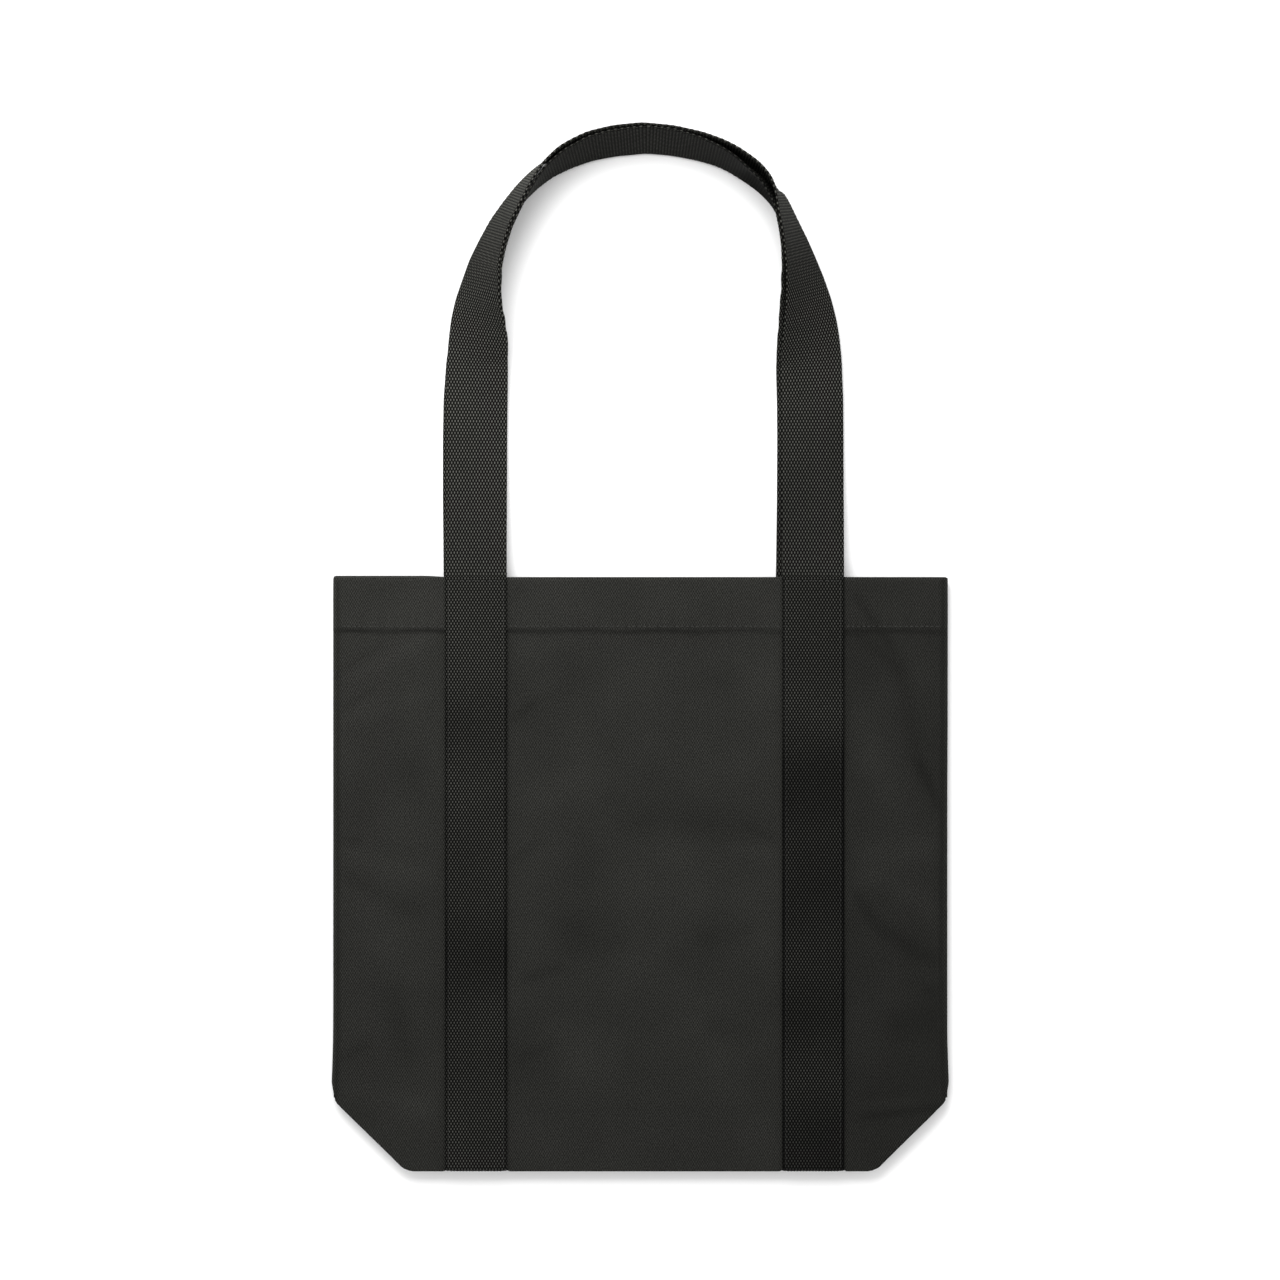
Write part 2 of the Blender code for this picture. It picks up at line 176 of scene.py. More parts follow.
def hex_colour(name, code, text):
    return bpy.props.FloatVectorProperty(
        name=name, description=text, default=linear(code), subtype="COLOR", size=4, min=0, max=1
    )


def measure(name, size, text):
    """A length that a user may change, given here in millimetres."""
    return bpy.props.FloatProperty(name=name, description=text, default=size * MM, unit="LENGTH")


class ToteSizes(bpy.types.PropertyGroup):
    canvas_thick: measure("Canvas", 0.8, "Thickness of one layer of canvas")
    webbing_thick: measure("Webbing", 1.5, "Thickness of the webbing between its crowns")
    crown: measure("Webbing crown", 0.22, "How far each float of the weave stands out")
    across: measure("Webbing yarns", 0.95, "Space between the warp yarns")
    along: measure("Sewn webbing picks", 1.64, "Space between the weft picks")
    handle_along: measure("Handle picks", 1.86, "Space between the weft picks of a handle")
    loft: measure("Side loft", 14, "How far in the canvas takes to rise from its side seam")
    grid: measure("Front mesh", 1.4, "Mesh step over the front canvas")
    back_grid: measure("Back mesh", 2.2, "Mesh step over the back canvas")
    hem_roll: measure("Fold radius", 0.55, "Radius of a turned edge, at the middle of the cloth")
    stitch: measure("Stitch", 2.4, "Length of one stitch")
    stitch_step: measure("Stitch step", 3.3, "Space from one stitch to the next")
    thread: measure("Thread", 0.5, "Thickness of the sewing thread")
    creasing: bpy.props.FloatProperty(
        name="Creasing", description="How strong the creases are",
        default=0.7, min=0, max=2, subtype="FACTOR",
    )


class ToteColours(bpy.types.PropertyGroup):
    canvas: hex_colour("Canvas", "#242422", "Dyed cotton canvas")
    hem: hex_colour("Hem", "#272725", "Canvas doubled at the mouth")
    webbing: hex_colour("Webbing", "#4a4a46", "Crowns of the webbing")
    # The near-black gap colour is painted shade between the webbing's crowns.
    webbing_gap_painted_shade: hex_colour("Webbing gaps", "#060605", "Between the crowns of the webbing")
    thread: hex_colour("Thread", "#2a2a28", "Thread of the hems")
    dark_thread: hex_colour("Strap thread", "#111110", "Thread of the straps")
    overlock: hex_colour("Overlock", "#2a2a28", "Overlocked seam edges")
    floor: hex_colour("Table", "#f4f4f4", "The plain table")


# ---------------------------------------------------------------- shared shapes


def smooth(value):
    """0 before 0, 1 after 1, and an even turn between."""
    held = np.clip(value, 0, 1)
    return held * held * (3 - 2 * held)


def ridge(distance, wide):
    """1 on a line, falling away to either side over about its width in millimetres."""
    return np.exp(-((distance / (wide * MM)) ** 2))


def creases(x, y, table):
    """Height of the creases at each point."""
    total = np.zeros_like(x)
    for x0, y0, x1, y1, wide, high in table:
        run = np.array((x1 - x0, y1 - y0)) * MM
        length = np.hypot(*run)
        run = run / length
        along = ((x - x0 * MM) * run[0] + (y - y0 * MM) * run[1]) / length
        across = (x - x0 * MM) * run[1] - (y - y0 * MM) * run[0]
        ends = smooth((along + 0.18) / 0.36) * smooth((1.18 - along) / 0.36)
        total += high * MM * ends * ridge(across, wide)
    return total


# Waves of the canvas: turns per metre across and along, two phases, and height in millimetres.
RIPPLES = (
    (61, 23, 0.4, 1.0, 0.30), (-37, 71, 2.1, 0.3, 0.26), (113, -49, 1.2, 2.7, 0.16),
    (83, 127, 0.2, 4.0, 0.12), (-151, 67, 3.3, 1.9, 0.09), (199, 173, 5.0, 0.8, 0.06),
    (29, -211, 0.9, 3.1, 0.07),
)


def ripples(x, y):
    """Slight unevenness of handled canvas."""
    total = np.zeros_like(x)
    for across, along, first, second, high in RIPPLES:
        wave = np.sin(across * x + along * y + first)
        total += 0.4 * high * MM * wave * np.cos(along * x * 0.6 - across * y + second)
    return total


def swell(x, y, face):
    """Broad rise and sag that canvas and straps share. None at the edges, the fold and the back."""
    if face < 0:
        return np.zeros_like(x)
    inside = smooth((y - FOLD_END - 12 * MM) / (50 * MM)) * smooth((MOUTH - 40 * MM - y) / (50 * MM))
    sides = smooth((HALF_WIDTH - np.abs(x)) / (50 * MM))
    wave = 0.5 * np.sin(41 * y + 9 * x + 1.2) + 0.3 * np.sin(83 * y - 14 * x + 0.4) + 0.5
    return MM * wave * inside * sides


def near_strap(x, face, margin):
    """1 over a strap, fading to 0 a margin away from its edges."""
    over = np.zeros_like(x)
    for middle in STRAP_MIDDLES[face]:
        gap = np.abs(x - middle) - WEB_HALF
        over = np.maximum(over, 1 - smooth(gap / margin))
    return over


def canvas_height(x, y, face):
    """Middle of a panel's canvas, as a distance from the bag's mid-plane, and how proud it stands there."""
    sizes = bpy.context.scene.tote_sizes
    level = PANEL_OUT - sizes.canvas_thick / 2
    seam = sizes.canvas_thick * 0.6
    side = np.clip(HALF_WIDTH - np.abs(x), 0, sizes.loft)
    rise = 1 - side / sizes.loft
    high = seam + (level - seam) * np.sqrt(np.clip(1 - rise**2, 0, 1))
    high -= 0.25 * MM * ridge(HALF_WIDTH - np.abs(x) - 2.4 * MM, 0.9)
    table = FRONT_CREASES if face > 0 else BACK_CREASES
    proud = creases(x, y, table) * sizes.creasing + ripples(x * face, y)
    step = HEM_STEP * smooth((y - HEM_ROW + 2.8 * MM) / (1.2 * MM))
    high += step - HEM_STEP - 0.25 * MM * ridge(y - HEM_ROW, 0.8)
    pucker = np.sin(700 * x + 3 * np.sin(90 * x)) * np.exp(-np.abs(y - HEM_ROW) / (7 * MM))
    proud += 0.16 * MM * pucker * (1 + 0.7 * np.sin(37 * x + 1.0))
    under = near_strap(x, face, 7 * MM)
    low_end = smooth((y - BOTTOM - 2 * MM) / (9 * MM))
    edge = smooth((HALF_WIDTH - np.abs(x)) / (9 * MM))
    proud = np.where(proud > 0, proud * (1 - under), proud * (1 - 0.7 * under)) * low_end * edge
    if face < 0:
        proud = np.clip(proud, -1.2 * MM, 1.0 * MM)
    return high + proud + swell(x, y, face), proud


def painted_shading_of(x, y, proud):
    """Painted light and shade on the canvas: lighter on ridges and up the left, darker in hollows, to the
    right and towards the bottom.
    """
    # Painted light up the left flank, and painted shade over the right flank.
    flank = np.where(x > 0, -0.24, 0.12 * smooth((y + 0.1) / 0.1)) * smooth((np.abs(x) - 0.09) / 0.02)
    from_side = HALF_WIDTH - np.abs(x)
    # A painted highlight on the outermost edge, and a painted shade line along the side seam's groove.
    side = 0.2 * smooth((2 * MM - from_side) / MM) - 0.5 * ridge(from_side - 3 * MM, 1.1)
    # A painted shade line in the crease under the hem's stitching, deeper to the left.
    hem_line = HEM_ROW - 3.8 * MM + 0.5 * MM * np.sin(130 * x)
    hem_shade_depth = 0.75 + 0.25 * np.sin(55 * x + 1) + 0.4 * smooth(-9 * x)
    painted_shade_under_hem = -0.5 * hem_shade_depth * ridge(y - hem_line, 1.5)
    # A painted highlight along the mouth's fold.
    painted_highlight_at_mouth = 0.35 * smooth((y - MOUTH + 1.9 * MM) / MM)
    above_hem = 0.1 * smooth((y - HEM_ROW + 1.5 * MM) / MM)
    # Painted shade, growing towards the bottom of the bag.
    low = -0.12 * smooth((-0.05 - y) / 0.25)
    # proud adds painted highlight on the ridges and painted shade in the hollows.
    return np.clip(0.5 + proud / (4.0 * MM) + flank + side + above_hem + painted_highlight_at_mouth + low + painted_shade_under_hem, 0, 1)


def body_sway(x, y, inset):
    """Pulls the outline slightly out at the corners and in between them, as worn canvas does."""
    corner = ridge(y - FOLD_END, 26)
    waist = ridge(y + 170 * MM, 75)
    reach = smooth((np.abs(x) - 0.1) / (HALF_WIDTH - 0.1))
    out = np.where(x < 0, 1.1 * corner, 0.9 * corner - 0.8 * waist) * MM
    return x + np.sign(x) * (out * reach - inset * smooth((np.abs(x) - 0.1) / 0.09))


def flat_cloth(x_low, x_high, y_low, y_high, columns, rows):
    """A flat cut of cloth, whose layer "cut" keeps each point's place on the cut."""
    bm = bmesh.new()
    bmesh.ops.create_grid(bm, x_segments=columns, y_segments=rows, size=0.5)
    bmesh.ops.scale(bm, vec=(x_high - x_low, y_high - y_low, 1), verts=bm.verts)
    bmesh.ops.translate(bm, vec=((x_low + x_high) / 2, (y_low + y_high) / 2, 0), verts=bm.verts)
    bm.verts.layers.float_vector.new("cut")
    # The layer that carries the painted light and shade on each point.
    bm.verts.layers.float.new("painted_shading")
    remember_cut(bm)
    return bm


def remember_cut(bm):
    cut = bm.verts.layers.float_vector["cut"]
    for vert in bm.verts:
        vert[cut] = vert.co


def places(bm):
    return np.array([vert.co[:] for vert in bm.verts]).T


def put(bm, x, y, z, painted_shading=None):
    """Moves every point of the cloth, and marks the painted light and shade on it, from 0, painted shade in
    a hollow, to 1, painted highlight on a ridge.
    """
    layer = bm.verts.layers.float["painted_shading"]
    for i, vert in enumerate(bm.verts):
        vert.co = (x[i], y[i], z[i])
        vert[layer] = 0.5 if painted_shading is None else painted_shading[i]


def trim_corner(bm, side, inset):
    """Cuts a bottom corner off along its fold line, with the two ends of the fold rounded."""
    ends = (Vector((side * HALF_WIDTH, FOLD_END, 0)), Vector((side * BASE_HALF, BOTTOM, 0)))
    cuts = [(45, ends[0])] + [(d, ends[0]) for d in (11, 22.5, 34)] + [(d, ends[1]) for d in (56, 67.5, 79)]
    for degrees, point in cuts:
        turn = math.radians(degrees)
        middle = math.radians(22.5 if point is ends[0] else 67.5)
        depth = 0
        if degrees != 45:
            depth = CORNER_ROUND * (math.cos(turn - middle) / math.cos(math.radians(22.5)) - 1)
        normal = Vector((side * math.cos(turn), -math.sin(turn), 0))
        bmesh.ops.bisect_plane(
            bm, geom=bm.verts[:] + bm.edges[:] + bm.faces[:], dist=1e-7,
            plane_co=point - normal * (depth + inset), plane_no=normal, clear_outer=True,
        )


def outward_of(edges):
    """At each point of a cloth's edge, the direction that points off the cloth, in plan."""
    away = {}
    for edge in edges:
        middle = (edge.verts[0].co + edge.verts[1].co) / 2
        run = edge.verts[1].co - edge.verts[0].co
        normal = Vector((run.y, -run.x, 0)).normalized()
        if normal.dot(edge.link_faces[0].calc_center_median() - middle) > 0:
            normal = -normal
        for vert in edge.verts:
            away[vert] = away.get(vert, Vector()) + normal
    return {vert: normal.normalized() for vert, normal in away.items()}


def turn_under(bm, edges, face, radius, tuck):
    """Rolls a cloth's edge under itself through half a turn, and tucks it in flat behind."""
    cut = bm.verts.layers.float_vector["cut"]
    away = {}
    for vert, normal in outward_of(edges).items():
        room = 0.5 * (abs(vert.co.z - MIDDLE) - 0.5 * MM)
        away[vert.co.copy().freeze()] = (normal, min(radius, max(0.08 * MM, room)))
    steps = 6
    for step in range(1, steps + 2):
        made = bmesh.ops.extrude_edge_only(bm, edges=edges)["geom"]
        edges = [part for part in made if isinstance(part, bmesh.types.BMEdge)]
        before, after = (math.pi * min(s, steps) / steps for s in (step - 1, step))
        moved = {}
        for vert in (part for part in made if isinstance(part, bmesh.types.BMVert)):
            normal, bend = away[vert.co.copy().freeze()]
            out = bend * (math.sin(after) - math.sin(before)) if step <= steps else -tuck
            down = bend * (math.cos(before) - math.cos(after))
            run = bend * math.pi / steps if step <= steps else tuck
            vert.co += normal * out - Vector((0, 0, face * down))
            vert[cut] += normal * run
            moved[vert.co.copy().freeze()] = (normal, bend)
        away = moved
    return edges


def face_out(bm, face):
    """Winds every face the same way, with the first side of the cloth facing out of the bag."""
    bmesh.ops.recalc_face_normals(bm, faces=bm.faces)
    widest = max(bm.faces, key=lambda part: abs(part.normal.z) * part.calc_area())
    if widest.normal.z * face < 0:
        bmesh.ops.reverse_faces(bm, faces=bm.faces)


def finish_cloth(bm, name, materials, thick, thin_edge=None):
    """Makes a piece of the cloth, gives it its UV map in metres, its thickness and its finish."""
    for part in bm.faces:
        part.smooth = True
    mesh = bpy.data.meshes.new(name)
    bm.to_mesh(mesh)
    bm.free()
    flat = np.zeros(len(mesh.vertices) * 3)
    mesh.attributes["cut"].data.foreach_get("vector", flat)
    corners = np.zeros(len(mesh.loops), dtype=int)
    mesh.loops.foreach_get("vertex_index", corners)
    flat = flat.reshape(-1, 3)
    layer = mesh.uv_layers.new(name="cloth")
    layer.data.foreach_set("uv", flat[corners, :2].ravel())
    mesh.attributes.remove(mesh.attributes["cut"])
    for material in materials:
        mesh.materials.append(material)
    piece = bpy.data.objects.new(name, mesh)
    bpy.context.scene.collection.objects.link(piece)
    shell = piece.modifiers.new("Thickness", "SOLIDIFY")
    shell.thickness = thick
    shell.offset = 0
    shell.use_quality_normals = True
    if len(materials) > 1:
        shell.material_offset = 1
    if thin_edge is not None:
        group = piece.vertex_groups.new(name="thickness")
        shares = np.round(thin_edge(flat), 3)
        for share in sorted(set(shares)):
            members = np.nonzero(shares == share)[0]
            group.add([int(i) for i in members], float(share), "REPLACE")
        shell.vertex_group = "thickness"
    return piece


# ---------------------------------------------------------------- finishes


def add(tree, kind, inputs, **settings):
    """Adds a node with its settings; each input is a value or another node's output."""
    node = tree.nodes.new(kind)
    for key, value in settings.items():
        setattr(node, key, value)
    for key, value in inputs.items():
        if isinstance(value, bpy.types.NodeSocket):
            tree.links.new(value, node.inputs[key])
        else:
            node.inputs[key].default_value = value
    return node


def new_material(name):
    material = bpy.data.materials.new(name)
    material.use_nodes = True
    material.node_tree.nodes.clear()
    return material, material.node_tree


def weave_crowns(tree, across, along, flip):
    """Where the yarns of a plain weave rise, 0 in a gap and 1 on a crown, by the cloth's UV in metres."""
    place = add(tree, "ShaderNodeUVMap", {}, uv_map="cloth")
    axes = add(tree, "ShaderNodeSeparateXYZ", {0: place.outputs[0]})
    waves = []
    for output, pitch in ((0, across), (1, along)):
        turns = {0: axes.outputs[output], 1: math.pi / pitch}
        turn = add(tree, "ShaderNodeMath", turns, operation="MULTIPLY")
        waves.append(add(tree, "ShaderNodeMath", {0: turn.outputs[0]}, operation="COSINE"))
    pair = {0: waves[0].outputs[0], 1: waves[1].outputs[0]}
    both = add(tree, "ShaderNodeMath", pair, operation="MULTIPLY")
    half = -0.5 if flip else 0.5
    crowns = add(tree, "ShaderNodeMath", {0: both.outputs[0], 1: half, 2: 0.5}, operation="MULTIPLY_ADD")
    return place, crowns


def toned(tree, place, yarn, speckle, mottle, painted_shading):
    """The yarns' colour varied by a fine speckle, a broad mottle and the painted light and shade marked on
    the cloth's points.

    Each noise is given as scale per metre, detail, roughness, and its least and most tone; the painted
    shading as its least mark, and the tones at that mark and at 1."""
    noises, tones = [], []
    for scale, detail, rough, least, most in (speckle, mottle):
        noise = add(
            tree, "ShaderNodeTexNoise",
            {"Vector": place.outputs[0], "Scale": scale, "Detail": detail, "Roughness": rough},
        )
        noises.append(noise)
        spread = {0: noise.outputs[0], 1: 0.3, 2: 0.7, 3: least, 4: most}
        tones.append(add(tree, "ShaderNodeMapRange", spread))
    # The painted light and shade marked on the cloth's points darkens or lightens the yarns.
    mark = add(tree, "ShaderNodeAttribute", {}, attribute_name="painted_shading")
    spread = {0: mark.outputs["Fac"], 1: painted_shading[0], 2: 1.0, 3: painted_shading[1], 4: painted_shading[2]}
    tones.append(add(tree, "ShaderNodeMapRange", spread))
    level = tones[0]
    for tone in tones[1:]:
        level = add(tree, "ShaderNodeMath", {0: level.outputs[0], 1: tone.outputs[0]}, operation="MULTIPLY")
    tone = add(tree, "ShaderNodeVectorMath", {0: yarn.outputs[2], 3: level.outputs[0]}, operation="SCALE")
    return tone, noises[0]


def canvas_finish(name, colour, contrast):
    """Dyed cotton canvas, plain woven and washed: matt, finely speckled, with painted highlights on its
    ridges and painted shade in its hollows.

    The real yarns are 0.7 mm apart; they are drawn 0.78 mm apart so that they show."""
    material, tree = new_material(name)
    place, crowns = weave_crowns(tree, 0.78 * MM, 1.28 * MM, False)
    dark = [c * (1 - contrast) for c in colour[:3]] + [1]
    light = [c * (1 + contrast) for c in colour[:3]] + [1]
    yarn = add(tree, "ShaderNodeMix", {0: crowns.outputs[0], 6: dark, 7: light}, data_type="RGBA")
    # The last triple maps the painted light and shade: its least mark 0, darkest at 0.6 and lightest at 1.4.
    tone, _ = toned(
        tree, place, yarn, (1000.0, 3.0, 0.6, 0.55, 1.45), (17.0, 4.0, 0.55, 0.9, 1.1), (0.0, 0.6, 1.4)
    )
    weave = {"Strength": 0.6, "Distance": 0.12 * MM, "Height": crowns.outputs[0]}
    relief = add(tree, "ShaderNodeBump", weave)
    shader = add(
        tree, "ShaderNodeBsdfPrincipled",
        {
            "Base Color": tone.outputs[0], "Roughness": 0.95, "Specular IOR Level": 0.02,
            "Sheen Weight": 0.01, "Sheen Roughness": 0.5, "Normal": relief.outputs[0],
        },
    )
    add(tree, "ShaderNodeOutputMaterial", {0: shader.outputs[0]})
    return material


def webbing_finish(name, colours, along, flip):
    """Woven polypropylene webbing: rounded, slightly shiny floats in a brick pattern, with painted shade in
    the near-black gaps.
    """
    material, tree = new_material(name)
    place, crowns = weave_crowns(tree, bpy.context.scene.tote_sizes.across, along, flip)
    raised = add(
        tree, "ShaderNodeMapRange", {0: crowns.outputs[0], 1: 0.5, 2: 0.92}, interpolation_type="SMOOTHSTEP"
    )
    yarn = add(
        tree, "ShaderNodeMix",
        {0: raised.outputs[0], 6: list(colours.webbing_gap_painted_shade), 7: list(colours.webbing)},
        data_type="RGBA",
    )
    # The last triple maps the painted light and shade, from the darkest painted shade, at 0.1, up to 1.5.
    tone, fibre = toned(
        tree, place, yarn, (700.0, 2.0, 0.6, 0.7, 1.3), (14.0, 3.0, 0.5, 0.88, 1.12), (DARKEST_PAINTED_SHADE, 0.1, 1.5)
    )
    weave = {"Strength": 0.5, "Distance": 0.1 * MM, "Height": fibre.outputs[0]}
    relief = add(tree, "ShaderNodeBump", weave)
    shader = add(
        tree, "ShaderNodeBsdfPrincipled",
        {
            "Base Color": tone.outputs[0], "Roughness": 0.7, "Specular IOR Level": 0.04,
            "Normal": relief.outputs[0],
        },
    )
    add(tree, "ShaderNodeOutputMaterial", {0: shader.outputs[0]})
    return material


def thread_finish(name, colour):
    """Twisted polyester thread: a slight gloss, with the twist of its plies every 0.6 mm."""
    material, tree = new_material(name)
    place = add(tree, "ShaderNodeTexCoord", {})
    plies = add(
        tree, "ShaderNodeTexWave",
        {"Vector": place.outputs["Object"], "Scale": 260.0, "Distortion": 1.5, "Detail": 1.0},
        bands_direction="DIAGONAL",
    )
    dark = [c * 0.5 for c in colour[:3]] + [1]
    light = [c * 1.6 for c in colour[:3]] + [1]
    tone = add(tree, "ShaderNodeMix", {0: plies.outputs[1], 6: dark, 7: light}, data_type="RGBA")
    twist = {"Strength": 0.4, "Distance": 0.08 * MM, "Height": plies.outputs[1]}
    relief = add(tree, "ShaderNodeBump", twist)
    shader = add(
        tree, "ShaderNodeBsdfPrincipled",
        {
            "Base Color": tone.outputs[2], "Roughness": 0.5, "Specular IOR Level": 0.3,
            "Normal": relief.outputs[0],
        },
    )
    add(tree, "ShaderNodeOutputMaterial", {0: shader.outputs[0]})
    return material


def table_finish(name, colour):
    """Matt white laminate: plain and pale, with only a trace of mottle."""
    material, tree = new_material(name)
    place = add(tree, "ShaderNodeTexCoord", {})
    mottle = add(tree, "ShaderNodeTexNoise", {"Vector": place.outputs["Object"], "Scale": 6.0})
    dull = [c * 0.99 for c in colour[:3]] + [1]
    tone = add(tree, "ShaderNodeMix", {0: mottle.outputs[0], 6: dull, 7: list(colour)}, data_type="RGBA")
    shader = add(
        tree, "ShaderNodeBsdfPrincipled",
        {"Base Color": tone.outputs[2], "Roughness": 0.9, "Specular IOR Level": 0.0},
    )
    add(tree, "ShaderNodeOutputMaterial", {0: shader.outputs[0]})
    return material


def finish_named(name):
    """A finish by its name, made the first time it is asked for."""
    found = bpy.data.materials.get(name)
    if found:
        return found
    scene = bpy.context.scene
    sizes, colours = scene.tote_sizes, scene.tote_colours
    if name == "dyed_cotton_canvas":
        return canvas_finish(name, colours.canvas, 0.75)
    if name == "doubled_cotton_canvas":
        return canvas_finish(name, colours.hem, 0.75)
    if name == "overlocked_canvas_edge":
        return canvas_finish(name, colours.overlock, 0.5)
    if name == "polyester_thread":
        return thread_finish(name, colours.thread)
    if name == "dark_polyester_thread":
        return thread_finish(name, colours.dark_thread)
    along = sizes.handle_along if "handle" in name else sizes.along
    return webbing_finish(name, colours, along, "reverse" in name)


# ---------------------------------------------------------------- canvas


def finish_canvas(bm, name, finish="dyed_cotton_canvas"):
    thick = bpy.context.scene.tote_sizes.canvas_thick
    return finish_cloth(bm, name, [finish_named(finish)], thick)


def canvas_panel(name, face, x_low, x_high, sides):
    """A panel of canvas or a strip of one, raised over the bag, cut at the corners and turned under."""
    sizes = bpy.context.scene.tote_sizes
    half = sizes.canvas_thick / 2
    low = BOTTOM + sizes.hem_roll + half
    high = MOUTH - sizes.hem_roll - half
    step = sizes.grid if face > 0 else sizes.back_grid
    bm = flat_cloth(x_low, x_high, low, high, round((x_high - x_low) / step), round((high - low) / step))
    for side in sides:
        trim_corner(bm, side, sizes.hem_roll + half)
    remember_cut(bm)
    x, y, _ = places(bm)
    rise, proud = canvas_height(x, y, face)
    painted_shading = painted_shading_of(x, y, proud)
    pulled = near_strap(x, face, 0.8 * MM) * (1 - smooth((y - low) / (12 * MM)))
    put(bm, body_sway(x, y, half), y + 2.2 * MM * pulled, MIDDLE + face * rise, painted_shading)
    below = FOLD_END + 0.5 * MM
    edges = []
    for edge in bm.edges:
        first, second = (vert[bm.verts.layers.float_vector["cut"]] for vert in edge.verts)
        cut_side = any(max(abs(first.x - end), abs(second.x - end)) < 1e-6 for end in (x_low, x_high))
        if edge.is_boundary and max(first.y, second.y) < below and not cut_side:
            edges.append(edge)
    turn_under(bm, edges, face, sizes.hem_roll, PANEL_TURN)
    face_out(bm, face)
    return finish_canvas(bm, name)


def hem_band(name, face, x_low, x_high):
    """The mouth's fold and the doubled canvas inside it, down to its cut edge."""
    sizes = bpy.context.scene.tote_sizes
    half = sizes.canvas_thick / 2
    start = MOUTH - sizes.hem_roll - half
    roll_rows, facing_rows = 6, 15
    columns = round((x_high - x_low) / sizes.grid)
    bm = flat_cloth(x_low, x_high, 0, 1, columns, roll_rows + facing_rows)
    x, row, _ = places(bm)
    row = np.round(row * (roll_rows + facing_rows))
    roll = math.pi * sizes.hem_roll
    down = start - FACING_LOW
    run = np.where(row <= roll_rows, row * roll / roll_rows, roll + (row - roll_rows) * down / facing_rows)
    turn = np.clip(run / sizes.hem_roll, 0, math.pi)
    below = np.clip(run - roll, 0, None)
    y = start - below
    if face < 0:
        y = y + 0.9 * MM * smooth((-x - 0.115) / 0.02)
    rise, proud = canvas_height(x, y, face)
    seam = sizes.canvas_thick * 0.6
    radius = np.minimum(sizes.hem_roll, 0.5 * np.clip(rise - seam, 0, None))
    inwards = smooth(below / (4 * MM)) * 2.5 * MM * smooth((np.abs(x) - 0.15) / 0.04)
    put(
        bm, body_sway(x, y, half) - np.sign(x) * inwards, y + radius * np.sin(turn),
        MIDDLE + face * (rise - radius * (1 - np.cos(turn))), painted_shading_of(x, y, proud),
    )
    cut = bm.verts.layers.float_vector["cut"]
    for i, vert in enumerate(bm.verts):
        vert[cut] = (x[i], start + run[i], 0)
    bmesh.ops.recalc_face_normals(bm, faces=bm.faces)
    top = max(bm.faces, key=lambda part: part.calc_center_median().z * face)
    if top.normal.z * face < 0:
        bmesh.ops.reverse_faces(bm, faces=bm.faces)
    return finish_canvas(bm, name, "doubled_cotton_canvas")


def blend_flank(piece, side):
    """A flank of the front stays with the back at its side seam, and with the front at its strap."""
    outer = min(abs(m) for m in STRAP_MIDDLES[1] if m * side > 0) + WEB_HALF
    start = (side * (HALF_WIDTH - 2 * MM), 0, MIDDLE)
    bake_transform(piece, "back", "front", start=start, end=(side * outer, 0, MIDDLE))


class TOTE_OT_front_canvas(bpy.types.Operator):
    """Front panel in three strips that meet under the straps, each with its turned hem"""

    bl_idname = "tote.front_canvas"
    bl_label = "Front canvas"

    def execute(self, context):
        left, right = STRAP_MIDDLES[1]
        strips = (
            ("left", -HALF_WIDTH, left, (-1,)),
            ("centre", left, right, ()),
            ("right", right, HALF_WIDTH, (1,)),
        )
        for name, low, high, sides in strips:
            panel = canvas_panel(f"front_canvas_{name}", 1, low, high, sides)
            hem = hem_band(f"front_hem_{name}", 1, low, high)
            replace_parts(panel, "front_panel")
            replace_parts(hem, "front_hem_facing")
            for piece in (panel, hem):
                if sides:
                    blend_flank(piece, sides[0])
                else:
                    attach(piece, "front")
        return {"FINISHED"}


class TOTE_OT_back_canvas(bpy.types.Operator):
    """Back panel with its turned hem"""

    bl_idname = "tote.back_canvas"
    bl_label = "Back canvas"

    def execute(self, context):
        panel = canvas_panel("back_canvas", -1, -HALF_WIDTH, HALF_WIDTH, (-1, 1))
        hem = hem_band("back_hem", -1, -HALF_WIDTH, HALF_WIDTH)
        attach(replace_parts(panel, "back_panel"), "back")
        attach(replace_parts(hem, "back_hem_facing"), "back")
        return {"FINISHED"}


# ---------------------------------------------------------------- base, corners and seams


def folded_strip(bm, level, start, end):
    """Bends a flat strip into the base's fold: in along the front, round, and out along the back."""
    _, run, _ = places(bm)
    straight = (end - start) - level
    turn = np.clip((run - straight) / level, 0, math.pi)
    back = np.clip(run - straight - math.pi * level, 0, None)
    y = start + np.minimum(run, straight) + level * np.sin(turn) - back
    return y, MIDDLE + level * np.cos(turn)


def base_cloth(name):
    """The base, folded inwards between the panels."""
    half = bpy.context.scene.tote_sizes.canvas_thick / 2
    level = BASE_HIGH.z - MIDDLE - half
    start, end = BOTTOM + BASE_GAP, FOLD_END - half
    length = 2 * (end - start - level) + math.pi * level
    wide = BASE_HIGH.x
    bm = flat_cloth(-wide, wide, 0, length, 90, 40)
    x, run, _ = places(bm)
    y, z = folded_strip(bm, level, start, end)
    soft = 0.15 * MM * np.sin(130 * x + 2) * np.sin(90 * run)
    put(bm, x, y, z + soft)
    face_out(bm, 1)
    return finish_canvas(bm, name), length


